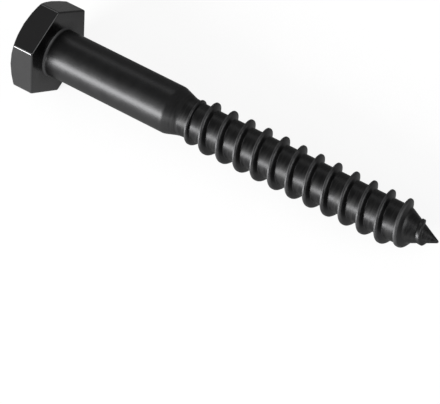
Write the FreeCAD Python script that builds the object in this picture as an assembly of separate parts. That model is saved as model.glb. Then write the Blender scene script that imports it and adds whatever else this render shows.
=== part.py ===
"""A hexagon head lag screw, lying on one flat of its head and on the crests of its thread.

The screw is drawn along +X: the centre of its bearing face is the origin, its head is at -X and
its point at +X. Angles round the axis start at +Y and turn towards +Z. At the end the screw is
tilted about the origin into the way it lies on a level surface. All sizes are in millimetres.
"""
import FreeCAD, Part
import math
import os

# Head
across_flats = 17.0
head_height = 5.3
chamfer_angle = 30.0        # degrees between the outer face and the cone round it
land_diameter = 16.3        # the flat round land inside that cone
corner_round = 0.6          # radius on the six long edges of the hexagon
rim_chamfer = 0.25          # between the flats and the bearing face

# Shank and taper
length = 86.2               # bearing face to the cone's sharp end
shank_diameter = 9.7
neck_fillet = 0.45          # how far the fillet under the head reaches out from the shank
neck_stretch = 1.4          # how much further it reaches along the shank
taper_start = 27.4
taper_end = 30.4
neck_diameter = 7.8         # at the end of the taper
shoulder_blend = 0.5        # length of the soft bend on each side of the taper's start

# Thread
thread_diameter = 9.95
root_diameter = 7.4
pitch = 3.88
run_in = 0.25               # turns of the ridge that lie on the taper
flank_angle = 14.0          # degrees between a flank and the radius
start_angle = 320.0         # degrees round the axis where the crest leaves the taper
crest_width = 0.45
root_settle = 2.6           # length over which the neck narrows to the root
growth_turns = 1.7          # turns over which the ridge grows to its full height
late_start = 1.8            # how far towards the point the ridge's start lies off its helix
catch_up_turns = 0.95       # turns in which the ridge comes onto its helix

# Point
point_length = 7.9
point_round = 0.3
bare_point = 1.85           # from the helix's end to the sharp end of the cone
low_ridge_height = 0.4      # of the last turn, on the cone
low_crest_width = 1.0
full_ridge_stop = 1.45      # turns left where the ridge starts to come down
low_ridge_start = 1.05      # turns left where the ridge has come down
end_fade = 0.25             # turns over which the low ridge runs out
early_end = 0.6             # how far towards the head the ridge's end lies off its helix
early_end_turns = 0.8       # turns in which it comes off its helix

# How the ridge is drawn
points_per_turn = 8
foot_depth = 0.35           # the ridge's foot lies this deep in the core
end_depth = 0.15            # the crest lies this deep in the core at both ends of the ridge
end_width_share = 0.4       # share of the crest's width that is there at both ends
head_overlap = 1.0          # the core reaches this far into the head

shank_radius = shank_diameter / 2
neck_radius = neck_diameter / 2
root_radius = root_diameter / 2
crest_radius = thread_diameter / 2
full_height = crest_radius - root_radius
cone_start = length - point_length
ridge_start = taper_end - run_in * pitch
ridge_turns = (length - bare_point - ridge_start) / pitch

origin = FreeCAD.Vector(0, 0, 0)
along = FreeCAD.Vector(1, 0, 0)
across = FreeCAD.Vector(0, 1, 0)
straight_down = 270.0       # degrees round the axis
angle_tolerance = 0.001     # radians


def smooth(share):
    """Rises from 0 to 1 without a slope at either end."""
    share = min(max(share, 0.0), 1.0)
    return share * share * (3 - 2 * share)


def runs_along(edge):
    """True for an edge that runs straight with the screw's axis."""
    run = edge.Vertexes[-1].Point - edge.Vertexes[0].Point
    return run.Length > 0 and run.normalize().cross(along).Length < angle_tolerance


def make_hexagon():
    """The head's prism, with two flats level, its long edges rounded and its rim chamfered."""
    corner_radius = across_flats / 2 / math.cos(math.pi / 6)
    corners = []
    for corner in range(7):
        angle = math.pi / 3 * corner
        y = corner_radius * math.cos(angle)
        z = corner_radius * math.sin(angle)
        corners.append(FreeCAD.Vector(-head_height, y, z))
    prism = Part.Face(Part.makePolygon(corners)).extrude(along * head_height)
    prism = prism.makeFillet(corner_round, [edge for edge in prism.Edges if runs_along(edge)])
    rim = [edge for edge in prism.Edges if edge.BoundBox.XMin > -rim_chamfer]
    return prism.makeChamfer(rim_chamfer, rim)


def make_head():
    """The hexagon inside the cone of its outer chamfer."""
    land_radius = land_diameter / 2
    cone_rise = (across_flats - land_radius) * math.tan(math.radians(chamfer_angle))
    envelope = [
        FreeCAD.Vector(-head_height, 0, 0),
        FreeCAD.Vector(-head_height, land_radius, 0),
        FreeCAD.Vector(-head_height + cone_rise, across_flats, 0),
        FreeCAD.Vector(across_flats, across_flats, 0),
        FreeCAD.Vector(across_flats, 0, 0),
        FreeCAD.Vector(-head_height, 0, 0),
    ]
    turned = Part.Face(Part.makePolygon(envelope)).revolve(origin, along, 360)
    return make_hexagon().common(turned)


def core_radius(x):
    """Radius of the core on the taper, the neck, the thread's root or the cone."""
    if x < taper_end:
        return neck_radius + (shank_radius - neck_radius) * (taper_end - x) / (taper_end - taper_start)
    if x < cone_start:
        return neck_radius + (root_radius - neck_radius) * min((x - taper_end) / root_settle, 1.0)
    return root_radius * (length - x) / point_length


def bend(before, corner, after, reach):
    """The arc that rounds an outline's corner, starting this far before it."""
    back = (before - corner).normalize()
    onward = (after - corner).normalize()
    half_angle = back.getAngle(onward) / 2
    inward = (back + onward).normalize()
    to_middle = reach / math.cos(half_angle) - reach * math.tan(half_angle)
    return Part.Arc(corner + back * reach, corner + inward * to_middle, corner + onward * reach)


def neck_arc():
    """The quarter ellipse between the bearing face and the shank."""
    reach = neck_fillet * neck_stretch
    centre = FreeCAD.Vector(reach, shank_radius + neck_fillet, 0)
    return Part.ArcOfEllipse(Part.Ellipse(centre, reach, neck_fillet), math.pi, 1.5 * math.pi)


def tip_arc():
    """The rounded end of the cone."""
    half_point = math.atan2(root_radius, point_length)
    centre = FreeCAD.Vector(length - point_round / math.sin(half_point), 0, 0)
    angles = [math.pi / 2 - half_point, (math.pi / 2 - half_point) / 2, 0]
    ends = [centre + FreeCAD.Vector(math.cos(angle), math.sin(angle), 0) * point_round for angle in angles]
    return Part.Arc(*ends)


def make_core():
    """All that is turned: neck fillet, shank, taper, thread root and cone."""
    inner_end = FreeCAD.Vector(-head_overlap, 0, 0)
    inner_rim = FreeCAD.Vector(-head_overlap, shank_radius + neck_fillet, 0)
    face_rim = FreeCAD.Vector(0, shank_radius + neck_fillet, 0)
    shoulder = FreeCAD.Vector(taper_start, shank_radius, 0)
    neck = FreeCAD.Vector(taper_end, neck_radius, 0)
    settled = FreeCAD.Vector(taper_end + root_settle, root_radius, 0)
    cone_edge = FreeCAD.Vector(cone_start, root_radius, 0)

    neck_curve = neck_arc()
    shoulder_arc = bend(neck_curve.EndPoint, shoulder, neck, shoulder_blend)
    point_arc = tip_arc()
    outline = [
        Part.LineSegment(inner_end, inner_rim),
        Part.LineSegment(inner_rim, face_rim),
        neck_curve,
        Part.LineSegment(neck_curve.EndPoint, shoulder_arc.StartPoint),
        shoulder_arc,
        Part.LineSegment(shoulder_arc.EndPoint, neck),
        Part.LineSegment(neck, settled),
        Part.LineSegment(settled, cone_edge),
        Part.LineSegment(cone_edge, point_arc.StartPoint),
        point_arc,
        Part.LineSegment(point_arc.EndPoint, inner_end),
    ]
    wire = Part.Wire([piece.toShape() for piece in outline])
    return Part.Face(wire).revolve(origin, along, 360)


def crest_place(turn):
    """How far along the axis the middle of the crest is."""
    late = late_start * max(1 - turn / catch_up_turns, 0.0)
    early = early_end * smooth(1 - (ridge_turns - turn) / early_end_turns)
    return ridge_start + pitch * turn + late - early


def lowered_share(turn):
    """Rises from 0 on the full ridge to 1 on the low last turn."""
    left = ridge_turns - turn
    return smooth((full_ridge_stop - left) / (full_ridge_stop - low_ridge_start))


def crest_height(turn):
    """Height of the crest above the core, with the ridge sunk at both of its ends."""
    left = ridge_turns - turn
    grown = math.sin(math.pi / 2 * min(turn / growth_turns, 1.0))
    height = full_height + (low_ridge_height - full_height) * lowered_share(turn)
    return (height + end_depth) * grown * min(left / end_fade, 1.0) - end_depth


def ridge_section(turn):
    """The four corners of the ridge's section at this turn, from foot to foot."""
    centre = crest_place(turn)
    angle = 2 * math.pi * (turn - run_in) + math.radians(start_angle)
    height = crest_height(turn)
    lowered = lowered_share(turn)
    width = crest_width + (low_crest_width - crest_width) * lowered
    tallest = full_height + (low_ridge_height - full_height) * lowered
    grown = (height + end_depth) / (tallest + end_depth)
    crest_half = width / 2 * (end_width_share + (1 - end_width_share) * grown)
    foot_half = crest_half + (height + foot_depth) * math.tan(math.radians(flank_angle))
    places = [
        (centre - foot_half, core_radius(centre - foot_half) - foot_depth),
        (centre - crest_half, core_radius(centre) + height),
        (centre + crest_half, core_radius(centre) + height),
        (centre + foot_half, core_radius(centre + foot_half) - foot_depth),
    ]
    return [FreeCAD.Vector(x, radius * math.cos(angle), radius * math.sin(angle)) for x, radius in places]


def make_ridge():
    """The thread's ridge as a solid of its own: helical strips of up to a turn each, and two ends."""
    steps = round(ridge_turns * points_per_turn)
    turns = [ridge_turns * step / steps for step in range(steps + 1)]
    sections = [ridge_section(turn) for turn in turns]
    curves = []
    for corner in range(4):
        curve = Part.BSplineCurve()
        curve.interpolate(Points=[section[corner] for section in sections], Parameters=turns)
        curves.append(curve)
    faces = [Part.Face(Part.makePolygon(section + section[:1])) for section in (sections[0], sections[-1])]
    pieces = math.ceil(ridge_turns)
    for piece in range(pieces):
        start = ridge_turns * piece / pieces
        end = ridge_turns * (piece + 1) / pieces
        edges = [curve.toShape(start, end) for curve in curves]
        for corner in range(4):
            faces.append(Part.makeRuledSurface(edges[corner - 1], edges[corner]))
    shell = Part.makeShell(faces)
    shell.sewShape()
    return Part.makeSolid(shell)


def rest_tilt():
    """Degrees by which the point drops when the head's flat and the last full crest touch the floor."""
    first_low = (run_in + (straight_down - start_angle) / 360) % 1.0
    contact_turn = first_low + math.floor(ridge_turns - full_ridge_stop - first_low)
    contact_x = crest_place(contact_turn)
    return math.degrees(math.asin((across_flats / 2 - crest_radius) / contact_x))


def make_lag_screw():
    """The finished screw, lying at rest."""
    screw = make_core().fuse([make_ridge(), make_head()]).removeSplitter().Solids[0]
    screw.rotate(origin, across, rest_tilt())
    return screw


os.makedirs("parts", exist_ok=True)
make_lag_screw().exportStep("parts/lag_screw.step")
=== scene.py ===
"""The looks of a hexagon head lag screw in black steel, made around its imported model.

The screw is one piece, made by one Geometry Nodes tree from the sizes of the part's source. In
that tree lengths are in millimetres and the screw runs along +X from the centre of its bearing
face; the last nodes turn millimetres into metres and tilt the screw into the way it lies.
"""
import math

import bpy
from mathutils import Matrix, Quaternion, Vector


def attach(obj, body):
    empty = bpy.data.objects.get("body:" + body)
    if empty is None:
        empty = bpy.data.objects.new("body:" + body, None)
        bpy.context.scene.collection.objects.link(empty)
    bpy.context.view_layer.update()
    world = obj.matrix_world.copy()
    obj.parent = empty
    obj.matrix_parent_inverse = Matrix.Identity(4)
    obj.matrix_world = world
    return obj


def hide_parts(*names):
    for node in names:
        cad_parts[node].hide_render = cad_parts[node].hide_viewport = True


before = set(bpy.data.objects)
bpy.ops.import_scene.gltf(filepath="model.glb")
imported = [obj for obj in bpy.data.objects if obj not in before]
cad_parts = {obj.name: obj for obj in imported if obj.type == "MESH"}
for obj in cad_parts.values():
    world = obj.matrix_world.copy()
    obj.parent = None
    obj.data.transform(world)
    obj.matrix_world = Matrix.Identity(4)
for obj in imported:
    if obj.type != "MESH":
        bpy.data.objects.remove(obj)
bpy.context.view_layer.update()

millimetre = 0.001
weld_distance = 0.001       # millimetres

# The sizes of the part's source, in millimetres and degrees. Added here are the bends, the
# softnesses, and a wider flank and crest on the point's side of the ridge. The rim is rounded
# where the source chamfers it, and the shoulder's blend is shorter than the source's.
head_sizes = {
    "Across flats": 17.0,
    "Head height": 5.3,
    "Chamfer angle": 30.0,
    "Land diameter": 16.3,
    "Corner round": 0.6,
    "Land bend": 0.1,
    "Chamfer bend": 0.16,
    "Rim round": 0.3,
}
shank_sizes = {
    "Shank diameter": 9.7,
    "Neck fillet": 0.45,
    "Neck stretch": 1.4,
    "Taper start": 27.4,
    "Taper end": 30.4,
    "Neck diameter": 7.8,
    "Shoulder blend": 0.3,
}
thread_sizes = {
    "Length": 86.2,
    "Thread diameter": 9.95,
    "Root diameter": 7.4,
    "Pitch": 3.88,
    "Run in": 0.25,
    "Flank angle": 14.0,
    "Start angle": 320.0,
    "Crest width": 0.45,
    "Root settle": 2.6,
    "Growth turns": 1.7,
    "Late start": 1.8,
    "Catch up turns": 0.95,
    "Point length": 7.9,
    "Point round": 0.3,
    "Bare point": 1.85,
    "Low ridge height": 0.4,
    "Low crest width": 1.0,
    "Full ridge stop": 1.45,
    "Low ridge start": 1.05,
    "End fade": 0.25,
    "Early end": 0.6,
    "Early end turns": 0.8,
    "End depth": 0.15,
    "End width share": 0.4,
    "Crest softness": 0.5,
    "Point flank angle": 20.0,
    "Point crest half": 0.33,
    "Point crest softness": 0.75,
    "Root softness": 0.3,
}
rest_tilt = 2.6438          # degrees, as the part's source works it out

# How finely the screw is drawn
columns_round = 72          # points round one turn
half_sector = columns_round // 12
strip_turns = 16            # turns of the thread's strip, after one turn ahead of the ridge
point_steps = 5

# The head's rows: each bend has a row held close beside it, which keeps the flat evenly shaded
land_hold = 3.0             # in reaches of the land's bend
side_hold = 2.0             # in reaches of the chamfer's bend
rim_hold = 1.6              # in reaches of the rim's bend
bearing_hold = 0.08         # share of the way from the rim to the neck
corner_share = 0.45         # share of half a side that counts as its corner

# Soft changes between the taper, the neck, the root and the cone, in millimetres
settled_softness = 0.05
taper_softness = 0.12
cone_softness = 0.25

# The ridge's section, in millimetres unless it says otherwise
low_crest_flat = 0.7        # share of the low ridge's crest that lies between its bends
least_height = 0.02         # the foot is placed as if the ridge were at least this high
low_softness = 0.4          # share of the crest's softness where the ridge has no height
bend_share = 1.1            # how far the crest's bend reaches, against its softness
least_flat = 0.3            # share of the crest's half width that never bends
foot_lead = 0.08            # the foot's rows start this far before the flank ends
foot_reach = 0.2
least_step = 0.02
root_room = 0.1             # the root's rows keep at least this room

# Where the edges are rubbed and carry a painted highlight, as shares of full wear and highlight
land_wear_and_highlight = 0.6
neck_wear_and_highlight = 0.7
point_wear_and_highlight = 0.3
head_side_wear_and_highlight = 0.68       # on the head's side of the crest
point_side_wear_and_highlight = 0.5
last_turn_wear_and_highlight = 0.2        # added on the last full turn
last_turn_start = 2.2       # turns left where that starts
last_turn_rise = 0.5        # turns over which it comes
wear_and_highlight_rise = 4.0             # how fast the wear and painted highlight come with the ridge's height
wear_and_highlight_delay = 0.9
rim_shade_share = 0.6        # share of the forged finish that the rim lacks, which paints a darker line of shade along it
shank_lines_and_shade = 0.1           # share of the rolled finish and the painted root shade on the shank
shank_lines_start = 0.4     # millimetres from the bearing face
shank_lines_rise = 2.0      # millimetres
root_lines_and_shade_rise = 0.3       # millimetres from the ridge's foot
# The rounded point takes half the rolled lines and the painted root shade
point_lines_and_shade = 0.5

# Colours of the black steel, and how far each replaces the one before it. The root colour paints
# shade in the roots between the ridges and on the cone; the rubbed colour is wear and a painted
# highlight on the edges
dark_oxide = (0.046, 0.046, 0.047)
light_oxide = (0.054, 0.054, 0.055)
forged_colour = (0.094, 0.094, 0.095)
root_shade_colour = (0.028, 0.028, 0.029)
line_colour = (0.065, 0.065, 0.064)
rubbed_and_highlit_colour = (0.115, 0.115, 0.117)
forged_share = 0.8
root_shade_share = 0.8
line_share = 0.45
edge_tint = (0.8, 0.8, 0.8, 1.0)    # of what is mirrored at a grazing angle

# Sizes of its pattern, in millimetres
grain_size = 0.25
line_spacing = 0.3
wear_and_highlight_size = 1.3

# Its roughness: a plain level, and what each finish adds to it
plain_roughness = 0.37
forged_smoothing = 0.15
rolled_roughening = 0.05
patch_roughening = 0.03
line_roughening = 0.12
rubbed_roughening = 0.25
rubbed_smoothing = 0.29     # taken off that where the steel is forged
grain_share = 0.25          # of the lines' height
steel_relief = 0.000016     # metres

floor_half = 3.0            # metres
floor_dark = (0.88, 0.88, 0.88)
floor_light = (0.91, 0.91, 0.91)
floor_relief = 0.00002      # metres
floor_grain = 0.8           # millimetres
floor_roughness = 0.85
floor_patches = 0.08        # added to the roughness in the patches
floor_whiteness = 0.87      # how far the floor's own white outweighs what lights it
mirrored_whiteness = 0.8    # the same, where the floor is mirrored in the screw
under_fall = (-22.0, 18.0, 0.62)    # painted shade in the floor's mirrored light: start and length across the screw, in mm, and how much falls
behind_fall = (6.0, 14.0, 0.32)

# The world: a bright band low round the horizon, which falls off towards the screw's far side
band_elevations = (6.0, 14.0)       # degrees
band_sideways = (-0.4, 0.4)
band_far_side = 0.1
overhead_level = 0.26
plain_level = 0.65

# Where the lamps face and how far they are, in metres
screw_middle = Vector((0.04, 0.0, 0.0))
lamp_distance = 0.8

# The camera, in millimetres, degrees and metres
sensor_width = 36.0
lens = 228.61
view_azimuth = -24.7471
view_elevation = 62.2172
view_roll = -35.9563
camera_place = Vector((0.264468, -0.112863, 0.456256))
nearest_seen = 0.05
farthest_seen = 20.0


class Term:
    """A number in a node tree, with the usual arithmetic."""

    def __init__(self, tree, socket):
        self.tree = tree
        self.socket = socket

    def __add__(self, other):
        return calc("ADD", self, other)

    __radd__ = __add__

    def __sub__(self, other):
        return calc("SUBTRACT", self, other)

    def __rsub__(self, other):
        return calc("SUBTRACT", other, self)

    def __mul__(self, other):
        return calc("MULTIPLY", self, other)

    __rmul__ = __mul__

    def __truediv__(self, other):
        return calc("DIVIDE", self, other)

    def __rtruediv__(self, other):
        return calc("DIVIDE", other, self)

    def __neg__(self):
        return calc("MULTIPLY", self, -1.0)


def feed(socket, value):
    """Sets a node's input to a number, or links it to a term."""
    if isinstance(value, Term):
        value.tree.links.new(value.socket, socket)
    else:
        socket.default_value = value


def calc(operation, *values):
    """One Math node, fed by numbers and by terms."""
    tree = next(value.tree for value in values if isinstance(value, Term))
    node = tree.nodes.new("ShaderNodeMath")
    node.operation = operation
    for socket, value in zip(node.inputs, values):
        feed(socket, value)
    return Term(tree, node.outputs[0])


def held(value, low=0.0, high=1.0):
    """The value, kept between two limits."""
    return calc("MINIMUM", calc("MAXIMUM", value, low), high)


def share(value, start, steps):
    """Rises from 0 to 1 while the value passes these steps after the start."""
    return held((value - start) / steps)


def eased(value):
    """Takes a share from 0 to 1 without a slope at either end."""
    return value * value * (3.0 - 2.0 * value)


def between(first, second, part):
    """A number this part of the way from the first to the second."""
    return first + (second - first) * part


def line(first, second, part):
    """A place on a straight leg. A place is a tuple of numbers."""
    return tuple(between(a, b, part) for a, b in zip(first, second))


def bend(first, corner, second, part):
    """A place on a soft bend that starts towards the corner and ends coming from it."""
    return line(line(first, corner, part), line(corner, second, part), part)


def legs(row, pieces):
    """A place on a chain of legs, by row.

    Each leg has its number of steps and a function of its share.
    """
    start = 0
    place = None
    for steps, leg in pieces:
        here = leg(share(row, start, steps))
        if place is None:
            place = here
        else:
            past = calc("GREATER_THAN", row, start + 0.5)
            place = tuple(between(a, b, past) for a, b in zip(place, here))
        start += steps
    return place


def sheet(tree, columns, rows):
    """A flat sheet of points, with the column and the row of each point as terms."""
    grid = tree.nodes.new("GeometryNodeMeshGrid")
    for name, value in (("Size X", 1.0), ("Size Y", 1.0)):
        grid.inputs[name].default_value = value
    for name, steps in (("Vertices X", columns), ("Vertices Y", rows)):
        grid.inputs[name].default_value = steps + 1
    position = tree.nodes.new("GeometryNodeInputPosition")
    across, up = split_vector(tree, position.outputs[0])[:2]
    column = (across + 0.5) * float(columns)
    row = (up + 0.5) * float(rows)
    return grid.outputs["Mesh"], calc("ROUND", column), calc("ROUND", row)


def split_vector(tree, socket):
    """The three parts of a vector, as terms."""
    node = tree.nodes.new("ShaderNodeSeparateXYZ")
    tree.links.new(socket, node.inputs[0])
    return [Term(tree, output) for output in node.outputs]


def joined_vector(tree, values):
    """A vector of three numbers or terms, as a socket."""
    node = tree.nodes.new("ShaderNodeCombineXYZ")
    for socket, value in zip(node.inputs, values):
        feed(socket, value)
    return node.outputs[0]


def shaped(tree, mesh, place, masks):
    """The sheet with its points moved to their places, and with its masks kept as attributes."""
    for name, value in masks.items():
        store = tree.nodes.new("GeometryNodeStoreNamedAttribute")
        store.data_type = "FLOAT"
        store.domain = "POINT"
        store.inputs["Name"].default_value = name
        feed(store.inputs["Value"], value)
        tree.links.new(mesh, store.inputs["Geometry"])
        mesh = store.outputs["Geometry"]
    move = tree.nodes.new("GeometryNodeSetPosition")
    tree.links.new(mesh, move.inputs["Geometry"])
    tree.links.new(joined_vector(tree, place), move.inputs["Position"])
    return move.outputs["Geometry"]


def on_rows(row, first, last):
    """1 on the rows from the first to the last, and 0 on all others."""
    return calc("GREATER_THAN", row, first - 0.5) * calc("LESS_THAN", row, last + 0.5)


def hexagon_place(size, along_half_side, inset):
    """A point of the rounded hexagon, seen from its nearest corner: outwards and sideways.

    The first half of the steps go round the corner, the others along the flat to its middle.
    """
    apothem = size["Across flats"] / 2.0
    radius = size["Corner round"] - inset
    to_centre = (apothem - size["Corner round"]) / math.cos(math.pi / 6)
    turn = held(along_half_side, 0.0, 0.5) * (math.pi / 3)
    on_flat = share(along_half_side, 0.5, 0.5)
    on_flat = on_flat * on_flat
    flat_outwards = to_centre + radius * math.cos(math.pi / 6)
    flat_sideways = radius * math.sin(math.pi / 6)
    middle_outwards = (apothem - inset) * math.cos(math.pi / 6)
    middle_sideways = (apothem - inset) * math.sin(math.pi / 6)
    outwards = to_centre + radius * calc("COSINE", turn)
    sideways = radius * calc("SINE", turn)
    return (
        outwards + (middle_outwards - flat_outwards) * on_flat,
        sideways + (middle_sideways - flat_sideways) * on_flat,
    )


def far_out(place):
    """How far a point of the hexagon is from the axis."""
    outwards, sideways = place
    return calc("SQRT", outwards * outwards + sideways * sideways)


def head(tree, size):
    """The head, drawn from the middle of its outer face over its side to the foot of the neck."""
    height = size["Head height"]
    slope = calc("TANGENT", calc("RADIANS", size["Chamfer angle"]))
    land = size["Land diameter"] / 2.0
    land_bend = size["Land bend"]
    chamfer_bend = size["Chamfer bend"]
    rim = size["Rim round"]
    neck_ring = size["Shank diameter"] / 2.0 + size["Neck fillet"]

    # Steps of each leg. The third, fifth and ninth are the bends at land, chamfer and rim
    counts = [2, 1, 3, 1, 4, 1, 2, 1, 4, 1, 2]
    land_leg, chamfer_leg, rim_leg = 2, 4, 8
    mesh, column, row = sheet(tree, columns_round, sum(counts))

    corner = calc("ROUND", column / (2.0 * half_sector))
    offset = column - corner * (2.0 * half_sector)
    along_half_side = calc("ABSOLUTE", offset) / float(half_sector)
    side = calc("SIGN", offset)

    edge = hexagon_place(size, along_half_side, 0.0)
    reach = far_out(edge)
    cone_edge = hexagon_place(size, along_half_side, chamfer_bend)
    rim_edge = hexagon_place(size, along_half_side, rim)
    even_turn = along_half_side * (math.pi / 6)

    def ring(x, radius):
        """A point of a circle, in line with the hexagon's points."""
        return x, radius * edge[0] / reach, radius * edge[1] / reach

    face = -height
    edge_x = face + (reach - land) * slope
    centre = (face, 0.0, 0.0)
    face_hold = ring(face, land - land_bend * land_hold)
    face_end = ring(face, land - land_bend)
    land_corner = ring(face, land)
    cone_start = ring(face + land_bend * slope, land + land_bend)
    cone_end = (face + (far_out(cone_edge) - land) * slope, *cone_edge)
    chamfer_corner = (edge_x, *edge)
    side_start = (edge_x + chamfer_bend, *edge)
    side_held = (edge_x + chamfer_bend * side_hold, *edge)
    rim_held = (-rim * rim_hold, *edge)
    side_end = (-rim, *edge)
    rim_corner = (0.0, *edge)
    rim_end = (0.0, *rim_edge)
    bearing_held = (0.0, *line(rim_edge, ring(0.0, neck_ring)[1:], bearing_hold))
    neck = (0.0, neck_ring * calc("COSINE", even_turn), neck_ring * calc("SINE", even_turn))
    shapes = [
        lambda part: line(centre, face_hold, part),
        lambda part: line(face_hold, face_end, part),
        lambda part: bend(face_end, land_corner, cone_start, part),
        lambda part: line(cone_start, cone_end, part),
        lambda part: bend(cone_end, chamfer_corner, side_start, part),
        lambda part: line(side_start, side_held, part),
        lambda part: line(side_held, rim_held, part),
        lambda part: line(rim_held, side_end, part),
        lambda part: bend(side_end, rim_corner, rim_end, part),
        lambda part: line(rim_end, bearing_held, part),
        lambda part: line(bearing_held, neck, part),
    ]
    x, outwards, sideways = legs(row, list(zip(counts, shapes)))
    turn = corner * (math.pi / 3)
    sideways = sideways * side
    y = outwards * calc("COSINE", turn) - sideways * calc("SINE", turn)
    z = outwards * calc("SINE", turn) + sideways * calc("COSINE", turn)

    def inside(first_leg, last_leg):
        """1 between the first row of one leg and the last row of another."""
        return on_rows(row, sum(counts[:first_leg]) + 1, sum(counts[:last_leg + 1]) - 1)

    # The chamfer's bend and the corners are rubbed, which also paints a highlight on them; the
    # land's bend less so, and the rim not at all
    rim_rows = inside(rim_leg, rim_leg)
    at_corner = calc("LESS_THAN", along_half_side, corner_share) * inside(chamfer_leg, rim_leg)
    worn_and_highlit = calc("MAXIMUM", inside(chamfer_leg, chamfer_leg), at_corner) * (1.0 - rim_rows)
    worn_and_highlit = calc("MAXIMUM", worn_and_highlit, inside(land_leg, land_leg) * land_wear_and_highlight)
    # Along the rim the forged finish is partly taken off, which paints a darker line of shade
    # there
    masks = {"edge": worn_and_highlit, "rolled_and_shaded": 0.0, "forged_and_rim_shade": 1.0 - rim_rows * rim_shade_share}
    return shaped(tree, mesh, (x, y, z), masks)


def round_place(x, radius, turn):
    return x, radius * calc("COSINE", turn), radius * calc("SINE", turn)


def taper_slope(size):
    """How much the taper's radius falls over each millimetre."""
    drop = (size["Shank diameter"] - size["Neck diameter"]) / 2.0
    return drop / (size["Taper end"] - size["Taper start"])


def strip_start(size):
    """Where the thread's strip starts, half a pitch before the middle of its first ridge."""
    return size["Taper end"] - size["Pitch"] * (size["Run in"] + 0.5) + size["Late start"]


def half_point(size):
    """The angle between the cone and the axis."""
    return calc("ARCTAN2", size["Root diameter"] / 2.0, size["Point length"])


def strip_end(size):
    """Where the thread's strip ends and the rounded point starts."""
    sine = calc("SINE", half_point(size))
    return size["Length"] - size["Point round"] / sine + size["Point round"] * sine


def shank(tree, size):
    """The neck's fillet, the plain shank, the shoulder and the first part of the taper."""
    radius = size["Shank diameter"] / 2.0
    fillet = size["Neck fillet"]
    reach = fillet * size["Neck stretch"]
    blend = size["Shoulder blend"]
    slope = taper_slope(size)
    shoulder = (size["Taper start"], radius)
    blend_start = (size["Taper start"] - blend, radius)
    blend_end = (size["Taper start"] + blend, radius - blend * slope)
    end_x = strip_start(size)
    end = (end_x, radius - (end_x - size["Taper start"]) * slope)

    def fillet_leg(part):
        turn = part * (math.pi / 2)
        away = 1.0 - calc("COSINE", turn)
        return reach * away, radius + fillet * (1.0 - calc("SINE", turn))

    fillet_steps, plain_steps, shoulder_steps, taper_steps = 8, 24, 6, 1
    pieces = [
        (fillet_steps, fillet_leg),
        (plain_steps, lambda part: line((reach, radius), blend_start, part)),
        (shoulder_steps, lambda part: bend(blend_start, shoulder, blend_end, part)),
        (taper_steps, lambda part: line(blend_end, end, part)),
    ]
    rows = fillet_steps + plain_steps + shoulder_steps + taper_steps
    mesh, column, row = sheet(tree, columns_round, rows)
    x, here = legs(row, pieces)
    place = round_place(x, here, column * (2 * math.pi / columns_round))
    # The neck's fillet is rubbed, which also paints a highlight round the neck
    worn_and_highlit = on_rows(row, 2, fillet_steps - 2) * neck_wear_and_highlight
    # The rolled lines start near the bearing face and bring a little of the painted root shade
    lines = share(x, shank_lines_start, shank_lines_rise) * shank_lines_and_shade
    return shaped(tree, mesh, place, {"edge": worn_and_highlit, "rolled_and_shaded": lines})


def core_radius(size, x):
    """Radius of the taper, the neck, the root and the cone, with soft changes between them."""
    neck = size["Neck diameter"] / 2.0
    root = size["Root diameter"] / 2.0
    taper = neck + (size["Taper end"] - x) * taper_slope(size)
    settling = neck + (root - neck) * (x - size["Taper end"]) / size["Root settle"]
    cone = root * (size["Length"] - x) / size["Point length"]
    settled = calc("SMOOTH_MAX", settling, root, settled_softness)
    narrowed = calc("SMOOTH_MAX", taper, settled, taper_softness)
    return calc("SMOOTH_MIN", narrowed, cone, cone_softness)


def crest_place(size, ridge_turns, turn):
    """How far along the axis the middle of the crest is."""
    late = size["Late start"] * (1.0 - held(turn / size["Catch up turns"]))
    ending = held(1.0 - (ridge_turns - turn) / size["Early end turns"])
    early = size["Early end"] * eased(ending)
    return size["Taper end"] + size["Pitch"] * (turn - size["Run in"]) + late - early


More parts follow.
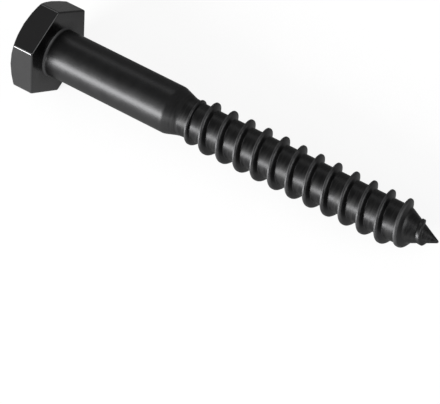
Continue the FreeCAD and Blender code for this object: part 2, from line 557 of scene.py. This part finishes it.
def thread(tree, size):
    """The threaded part and the cone, drawn on a strip that winds round the screw.

    The ridge runs along the strip, and each turn of the strip borders on the turns beside it,
    halfway to their ridges. At both ends the strip is cut off square, so that it meets the shank
    and the point.
    """
    root_steps, foot_steps, flank_steps, edge_steps, crest_steps = 2, 4, 2, 5, 1
    half_rows = root_steps + foot_steps + flank_steps + edge_steps + crest_steps
    mesh, column, row = sheet(tree, (strip_turns + 1) * columns_round, 2 * half_rows)
    from_middle = row - float(half_rows)
    step = calc("ABSOLUTE", from_middle)
    side = calc("SIGN", from_middle)
    to_point = calc("GREATER_THAN", from_middle, 0.0)

    turn = column / float(columns_round) - 1.0
    threaded = size["Length"] - size["Bare point"] - size["Taper end"]
    ridge_turns = threaded / size["Pitch"] + size["Run in"]
    left = ridge_turns - turn
    middle = crest_place(size, ridge_turns, turn)
    room = calc("ABSOLUTE", crest_place(size, ridge_turns, turn + side) - middle) / 2.0
    angle = (turn - size["Run in"]) * (2 * math.pi) + calc("RADIANS", size["Start angle"])

    full_height = (size["Thread diameter"] - size["Root diameter"]) / 2.0
    grown = calc("SINE", held(turn / size["Growth turns"]) * (math.pi / 2))
    lowering_turns = size["Full ridge stop"] - size["Low ridge start"]
    lowered = eased(held((size["Full ridge stop"] - left) / lowering_turns))
    tallest = between(full_height, size["Low ridge height"], lowered)
    fading = held(left / size["End fade"])
    end_depth = size["End depth"]
    height = (tallest + end_depth) * grown * fading - end_depth
    width_share = (height + end_depth) / (tallest + end_depth)

    full_half = between(size["Crest width"] / 2.0, size["Point crest half"], to_point)
    crest_half = between(full_half, size["Low crest width"] / 2.0 * low_crest_flat, lowered)
    crest_half = crest_half * between(size["End width share"], 1.0, width_share)
    flank_angle = between(size["Flank angle"], size["Point flank angle"], to_point)
    flank_run = calc("TANGENT", calc("RADIANS", flank_angle))
    foot_half = crest_half + calc("MAXIMUM", height, least_height) * flank_run

    tall = held(height / full_height)
    softness = between(size["Crest softness"], size["Point crest softness"], to_point)
    softness = softness * between(low_softness, 1.0, tall)
    bend_reach = softness * flank_run * bend_share
    edge_inner = calc("MAXIMUM", crest_half - bend_reach, crest_half * least_flat)
    edge_outer = crest_half + bend_reach
    foot_inner = calc("MAXIMUM", foot_half - foot_lead, edge_outer + least_step)
    foot_outer = calc("MINIMUM", foot_inner + foot_reach, room - root_room)
    stops = [
        (crest_steps, 0.0, edge_inner),
        (edge_steps, edge_inner, edge_outer),
        (flank_steps, edge_outer, foot_inner),
        (foot_steps, foot_inner, foot_outer),
        (root_steps, foot_outer, room),
    ]
    away = 0.0
    start = 0
    for steps, inner, outer in stops:
        away = away + (outer - inner) * share(step, start, steps)
        start += steps

    start_x, end_x = strip_start(size), strip_end(size)
    x = held(middle + away * side, start_x, end_x)
    crest = core_radius(size, held(middle, start_x, end_x)) + height
    flank = crest - (away - crest_half) / flank_run
    ridge = calc("SMOOTH_MIN", crest, flank, softness)
    radius = calc("SMOOTH_MAX", core_radius(size, x), ridge, size["Root softness"] * tall)

    # The wear and a painted highlight lie on the crest, and on the low ridge there is little of
    # them
    last_turn = share(turn, ridge_turns - last_turn_start, last_turn_rise)
    wear_and_highlight = between(head_side_wear_and_highlight, point_side_wear_and_highlight + last_turn * last_turn_wear_and_highlight, to_point)
    on_crest = on_rows(step, 0, crest_steps + edge_steps - 2)
    worn_and_highlit = on_crest * held(tall * wear_and_highlight_rise - wear_and_highlight_delay) * wear_and_highlight
    # Past the ridge's foot lie the rolled lines and the painted shade of the root
    masks = {"edge": worn_and_highlit, "rolled_and_shaded": share(away, foot_half, root_lines_and_shade_rise)}
    return shaped(tree, mesh, round_place(x, radius, angle), masks)


def point(tree, size):
    """The rounded end of the cone."""
    middle = size["Length"] - size["Point round"] / calc("SINE", half_point(size))
    mesh, column, row = sheet(tree, columns_round, point_steps)
    turn = (math.pi / 2 - half_point(size)) * (1.0 - row / float(point_steps))
    x = middle + size["Point round"] * calc("COSINE", turn)
    radius = size["Point round"] * calc("SINE", turn)
    place = round_place(x, radius, column * (2 * math.pi / columns_round))
    # The point is a little rubbed, with a painted highlight, and takes half the rolled lines and
    # painted root shade
    return shaped(tree, mesh, place, {"edge": point_wear_and_highlight, "rolled_and_shaded": point_lines_and_shade})


def screw_tree(material):
    """The tree that makes the whole screw, and its named sizes."""
    tree = bpy.data.node_groups.new("lag_screw_form", "GeometryNodeTree")
    tree.interface.new_socket("Geometry", in_out="OUTPUT", socket_type="NodeSocketGeometry")
    sizes = {**head_sizes, **shank_sizes, **thread_sizes, "Rest tilt": rest_tilt}
    for name, value in sizes.items():
        socket = tree.interface.new_socket(name, in_out="INPUT", socket_type="NodeSocketFloat")
        socket.default_value = value
    entry = tree.nodes.new("NodeGroupInput")
    size = {name: Term(tree, entry.outputs[name]) for name in sizes}

    join = tree.nodes.new("GeometryNodeJoinGeometry")
    for part in (head, shank, thread, point):
        tree.links.new(part(tree, size), join.inputs[0])
    weld = tree.nodes.new("GeometryNodeMergeByDistance")
    weld.inputs["Distance"].default_value = weld_distance
    lie = tree.nodes.new("GeometryNodeTransform")
    lie.inputs["Scale"].default_value = (millimetre,) * 3
    tilt = joined_vector(tree, (0.0, calc("RADIANS", size["Rest tilt"]), 0.0))
    tree.links.new(tilt, lie.inputs["Rotation"])
    smooth = tree.nodes.new("GeometryNodeSetShadeSmooth")
    realize = tree.nodes.new("GeometryNodeRealizeInstances")
    paint = tree.nodes.new("GeometryNodeSetMaterial")
    paint.inputs["Material"].default_value = material
    leave = tree.nodes.new("NodeGroupOutput")
    chain = [join, weld, lie, smooth, realize, paint, leave]
    for before, after in zip(chain, chain[1:]):
        tree.links.new(before.outputs[0], after.inputs[0])
    return tree, sizes


def make_screw(material):
    """The screw as a plain mesh."""
    tree, sizes = screw_tree(material)
    maker = bpy.data.objects.new("screw_maker", bpy.data.meshes.new("screw_maker"))
    bpy.context.scene.collection.objects.link(maker)
    modifier = maker.modifiers.new("form", "NODES")
    modifier.node_group = tree
    for item in tree.interface.items_tree:
        if item.in_out == "INPUT":
            modifier[item.identifier] = sizes[item.name]
    evaluated = maker.evaluated_get(bpy.context.evaluated_depsgraph_get())
    mesh = bpy.data.meshes.new_from_object(evaluated)
    mesh.name = "screw"
    maker.modifiers.remove(modifier)
    bpy.data.objects.remove(maker)
    piece = bpy.data.objects.new("screw", mesh)
    bpy.context.scene.collection.objects.link(piece)
    return piece


def new_group(name, inputs, outputs):
    """An empty shader node group with these named sockets, and its first and last node."""
    group = bpy.data.node_groups.new(name, "ShaderNodeTree")
    for socket, value in inputs.items():
        kind = "NodeSocketVector" if value is None else "NodeSocketFloat"
        made = group.interface.new_socket(socket, in_out="INPUT", socket_type=kind)
        if value is not None:
            made.default_value = value
    for socket in outputs:
        group.interface.new_socket(socket, in_out="OUTPUT", socket_type="NodeSocketFloat")
    return group, group.nodes.new("NodeGroupInput"), group.nodes.new("NodeGroupOutput")


def noise(tree, place, scale, detail, roughness=0.5):
    """Noise at this place, as a term. The scale is a number or a term."""
    node = tree.nodes.new("ShaderNodeTexNoise")
    tree.links.new(place, node.inputs["Vector"])
    for name, value in (("Scale", scale), ("Detail", detail), ("Roughness", roughness)):
        feed(node.inputs[name], value)
    return Term(tree, node.outputs["Fac"])


def stretched(value, low, high, start=0.0, end=1.0):
    """The start up to the low value and the end from the high value on, changing softly."""
    node = value.tree.nodes.new("ShaderNodeMapRange")
    node.interpolation_type = "SMOOTHSTEP"
    feed(node.inputs["Value"], value)
    for name, limit in (("From Min", low), ("From Max", high), ("To Min", start), ("To Max", end)):
        node.inputs[name].default_value = limit
    return Term(value.tree, node.outputs["Result"])


def grain_group():
    """Fine even grain, as fine as its size says, and cloudy patches of ten times that size."""
    inputs = {"Place": None, "Size": 1.0}
    group, entry, leave = new_group("fine_grain", inputs, ["Height", "Patches"])
    size = Term(group, entry.outputs["Size"])
    fine = noise(group, entry.outputs["Place"], 1.0 / size, 2.0)
    broad = noise(group, entry.outputs["Place"], 0.1 / size, 3.0)
    feed(leave.inputs["Height"], fine)
    feed(leave.inputs["Patches"], stretched(broad, 0.3, 0.7))
    return group


def rolling_group():
    """Fine lines that run round the screw, some of them long and some broken off."""
    inputs = {"Place": None, "Spacing": 0.2}
    group, entry, leave = new_group("rolling_lines", inputs, ["Height", "Lines"])
    x, y, z = split_vector(group, entry.outputs["Place"])
    radius = calc("SQRT", y * y + z * z + 0.01)
    spacing = Term(group, entry.outputs["Spacing"])
    layers = []
    for wide, wander in ((1.0, 1.2), (3.0, 0.8)):
        around = (x / (spacing * wide), y / radius * wander, z / radius * wander)
        layers.append(noise(group, joined_vector(group, around), 1.0, 2.0, 0.6))
    both = layers[0] * 0.6 + layers[1] * 0.4
    feed(leave.inputs["Height"], both)
    feed(leave.inputs["Lines"], stretched(both, 0.38, 0.62))
    return group


def wear_and_highlight_group():
    """Where an edge is rubbed and carries a painted highlight, broken up unevenly along its
    length.
    """
    inputs = {"Place": None, "Edge": 0.0, "Size": 1.0}
    group, entry, leave = new_group("rubbed_and_highlit_edge", inputs, ["Rubbed"])
    scale = 1.0 / Term(group, entry.outputs["Size"])
    uneven = noise(group, entry.outputs["Place"], scale, 3.0, 0.65)
    edge = Term(group, entry.outputs["Edge"])
    feed(leave.inputs["Rubbed"], stretched(edge + (uneven - 0.5) * 0.6, 0.3, 0.8))
    return group


def place_group(tree, group, place, values):
    """The group in a material, with its inputs set, and its outputs as terms."""
    node = tree.nodes.new("ShaderNodeGroup")
    node.node_tree = group
    tree.links.new(place, node.inputs["Place"])
    for name, value in values.items():
        feed(node.inputs[name], value)
    return {socket.name: Term(tree, socket) for socket in node.outputs}


def new_material(name):
    material = bpy.data.materials.new(name)
    material.use_nodes = True
    return material, material.node_tree, material.node_tree.nodes["Principled BSDF"]


def object_place(tree, scale, turn=0.0):
    """Object coordinates at this scale, turned round Y by these degrees."""
    source = tree.nodes.new("ShaderNodeTexCoord")
    mapping = tree.nodes.new("ShaderNodeMapping")
    mapping.inputs["Scale"].default_value = (scale,) * 3
    mapping.inputs["Rotation"].default_value = (0.0, math.radians(turn), 0.0)
    tree.links.new(source.outputs["Object"], mapping.inputs["Vector"])
    return mapping.outputs["Vector"]


def mask(tree, name):
    """One of the masks that the screw's form keeps for its finish."""
    node = tree.nodes.new("ShaderNodeAttribute")
    node.attribute_name = name
    return Term(tree, node.outputs["Fac"])


def mixed(tree, first, second, part):
    """A colour this part of the way from the first to the second."""
    node = tree.nodes.new("ShaderNodeMix")
    node.data_type = "RGBA"
    for socket, colour in ((node.inputs[6], first), (node.inputs[7], second)):
        if isinstance(colour, tuple):
            socket.default_value = (*colour, 1.0)
        else:
            tree.links.new(colour, socket)
    feed(node.inputs[0], part)
    return node.outputs[2]


def blended(tree, fac, first, second, leave):
    """Shows the second shader, where this number is 1, in place of the first."""
    mix = tree.nodes.new("ShaderNodeMixShader")
    feed(mix.inputs["Fac"], fac)
    tree.links.new(first.outputs[0], mix.inputs[1])
    tree.links.new(second.outputs[0], mix.inputs[2])
    tree.links.new(mix.outputs[0], leave.inputs["Surface"])


def bumped(tree, shader, height, distance):
    """Lets a height shape the shader's surface."""
    node = tree.nodes.new("ShaderNodeBump")
    node.inputs["Distance"].default_value = distance
    feed(node.inputs["Height"], height)
    tree.links.new(node.outputs["Normal"], shader.inputs["Normal"])


def black_steel(grain, rolling, wear_and_highlight):
    """Black oxide on steel: satin, with fine rolled lines and painted shade in the roots, rubbed
    edges that also carry a painted highlight, and painted shade along the head's rim.
    """
    material, tree, shader = new_material("black_oxide_steel")
    place = object_place(tree, 1.0 / millimetre, -rest_tilt)
    forged_and_rim_shade = mask(tree, "forged_and_rim_shade")
    rolled_and_shaded = mask(tree, "rolled_and_shaded")
    speckle = place_group(tree, grain, place, {"Size": grain_size})
    lines = place_group(tree, rolling, place, {"Spacing": line_spacing})
    worn_and_highlit = place_group(tree, wear_and_highlight, place, {"Edge": mask(tree, "edge"), "Size": wear_and_highlight_size})
    rubbed_and_highlit = worn_and_highlit["Rubbed"]

    colour = mixed(tree, dark_oxide, light_oxide, speckle["Patches"])
    # The forged head is lighter; less so along the rim, where this paints a darker line of shade
    colour = mixed(tree, colour, forged_colour, forged_and_rim_shade * forged_share)
    # Painted shade: the roots between the ridges and the cone are darker
    colour = mixed(tree, colour, root_shade_colour, rolled_and_shaded * root_shade_share)
    colour = mixed(tree, colour, line_colour, lines["Lines"] * rolled_and_shaded * line_share)
    # Rubbed edges, lighter as wear and as a painted highlight
    colour = mixed(tree, colour, rubbed_and_highlit_colour, rubbed_and_highlit)
    tree.links.new(colour, shader.inputs["Base Color"])

    roughness = plain_roughness - forged_and_rim_shade * forged_smoothing + rolled_and_shaded * rolled_roughening
    roughness = roughness + (speckle["Patches"] - 0.5) * patch_roughening
    roughness = roughness + (lines["Lines"] - 0.5) * rolled_and_shaded * line_roughening
    roughness = roughness + rubbed_and_highlit * (rubbed_roughening - forged_and_rim_shade * rubbed_smoothing)
    feed(shader.inputs["Roughness"], roughness)
    shader.inputs["Metallic"].default_value = 1.0
    shader.inputs["Specular Tint"].default_value = edge_tint
    height = speckle["Height"] * grain_share + lines["Height"] * rolled_and_shaded
    bumped(tree, shader, height, steel_relief)
    return material


def pale_floor(grain):
    """A matt pale floor, white where nothing shades it.

    As the metal mirrors it, the floor gives off its own light, bright on the key lamp's side and
    darker beyond the screw: a painted shade there.
    """
    material, tree, shader = new_material("pale_floor")
    place = object_place(tree, 1.0 / millimetre)
    speckle = place_group(tree, grain, place, {"Size": floor_grain})
    colour = mixed(tree, floor_dark, floor_light, speckle["Patches"])
    tree.links.new(colour, shader.inputs["Base Color"])
    feed(shader.inputs["Roughness"], floor_roughness + speckle["Patches"] * floor_patches)
    bumped(tree, shader, speckle["Height"], floor_relief)

    # Painted shade: the floor's own light, as the metal mirrors it, falls off across the screw
    y = split_vector(tree, place)[1]
    mirrored = 1.0
    for start, steps, fall in (under_fall, behind_fall):
        mirrored = mirrored - eased(share(y, start, steps)) * fall
    white = tree.nodes.new("ShaderNodeEmission")
    feed(white.inputs["Strength"], between(mirrored, 1.0, camera_ray(tree)))
    seen = camera_ray(tree) * floor_whiteness
    own_white = calc("MAXIMUM", seen, mirrored_ray(tree) * mirrored_whiteness)
    blended(tree, own_white, shader, white, tree.nodes["Material Output"])
    return material


def camera_ray(tree):
    """1 on rays that show the surroundings straight."""
    path = tree.nodes.new("ShaderNodeLightPath")
    return Term(tree, path.outputs["Is Camera Ray"])


def mirrored_ray(tree):
    """1 on rays that show the surroundings in metal or through glass."""
    path = tree.nodes.new("ShaderNodeLightPath")
    names = ("Is Glossy Ray", "Is Transmission Ray")
    return calc("MAXIMUM", *(Term(tree, path.outputs[name]) for name in names))


def make_floor(level, material):
    """The floor that the screw lies on."""
    corners = [(-1, -1), (1, -1), (1, 1), (-1, 1)]
    places = [(x * floor_half, y * floor_half, level) for x, y in corners]
    mesh = bpy.data.meshes.new("floor")
    mesh.from_pydata(places, [], [(0, 1, 2, 3)])
    floor = bpy.data.objects.new("floor", mesh)
    mesh.materials.append(material)
    bpy.context.scene.collection.objects.link(floor)


def direction(azimuth, elevation):
    """A unit vector: azimuth from +X towards +Y, elevation above the horizon, in degrees."""
    azimuth, elevation = math.radians(azimuth), math.radians(elevation)
    flat = math.cos(elevation)
    return Vector((flat * math.cos(azimuth), flat * math.sin(azimuth), math.sin(elevation)))


def make_lamp(name, azimuth, elevation, width, height, radiance):
    """A soft rectangular lamp that faces the screw's middle."""
    data = bpy.data.lights.new(name, "AREA")
    data.shape = "RECTANGLE"
    data.size, data.size_y = width, height
    data.energy = radiance * math.pi * width * height
    lamp = bpy.data.objects.new(name, data)
    away = direction(azimuth, elevation)
    lamp.location = screw_middle + away * lamp_distance
    lamp.rotation_mode = "QUATERNION"
    lamp.rotation_quaternion = away.to_track_quat("Z", "Y")
    lamp.visible_camera = False
    bpy.context.scene.collection.objects.link(lamp)


def make_world():
    """Bright near the horizon, dim overhead, and a plain level of light from everywhere."""
    world = bpy.data.worlds.new("studio")
    bpy.context.scene.world = world
    world.use_nodes = True
    tree = world.node_tree
    tree.nodes.clear()
    place = tree.nodes.new("ShaderNodeTexCoord")
    y, z = split_vector(tree, place.outputs["Generated"])[1:]
    low, high = (math.sin(math.radians(elevation)) for elevation in band_elevations)
    band = stretched(z, low, high, 1.0, 0.0) * stretched(y, *band_sideways, 1.0, band_far_side)
    seen = tree.nodes.new("ShaderNodeBackground")
    feed(seen.inputs["Strength"], overhead_level + band * (1.0 - overhead_level))
    plain = tree.nodes.new("ShaderNodeBackground")
    plain.inputs["Strength"].default_value = plain_level
    seen_ray = calc("MAXIMUM", camera_ray(tree), mirrored_ray(tree))
    blended(tree, seen_ray, plain, seen, tree.nodes.new("ShaderNodeOutputWorld"))


def make_camera():
    """The photograph's view."""
    data = bpy.data.cameras.new("camera")
    data.sensor_width = sensor_width
    data.lens = lens
    data.clip_start, data.clip_end = nearest_seen, farthest_seen
    camera = bpy.data.objects.new("camera", data)
    bpy.context.scene.collection.objects.link(camera)
    bpy.context.scene.camera = camera
    away = direction(view_azimuth, view_elevation)
    roll = Quaternion(away, math.radians(view_roll))
    camera.rotation_mode = "QUATERNION"
    camera.rotation_quaternion = roll @ away.to_track_quat("Z", "Y")
    camera.location = camera_place


bpy.context.scene.view_settings.view_transform = "Standard"
make_camera()
grain = grain_group()
screw = make_screw(black_steel(grain, rolling_group(), wear_and_highlight_group()))
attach(screw, "root")
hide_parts("lag_screw")
make_floor(min(vertex.co.z for vertex in screw.data.vertices), pale_floor(grain))
make_world()
make_lamp("key", -115.5, 25.0, width=0.55, height=0.27, radiance=17.5)
make_lamp("above", -120.0, 54.0, width=0.5, height=0.35, radiance=1.0)
make_lamp("far_side", 118.0, 32.0, width=0.5, height=0.2, radiance=1.0)
make_lamp("point_end", 12.0, 25.0, width=0.5, height=0.55, radiance=2.8)
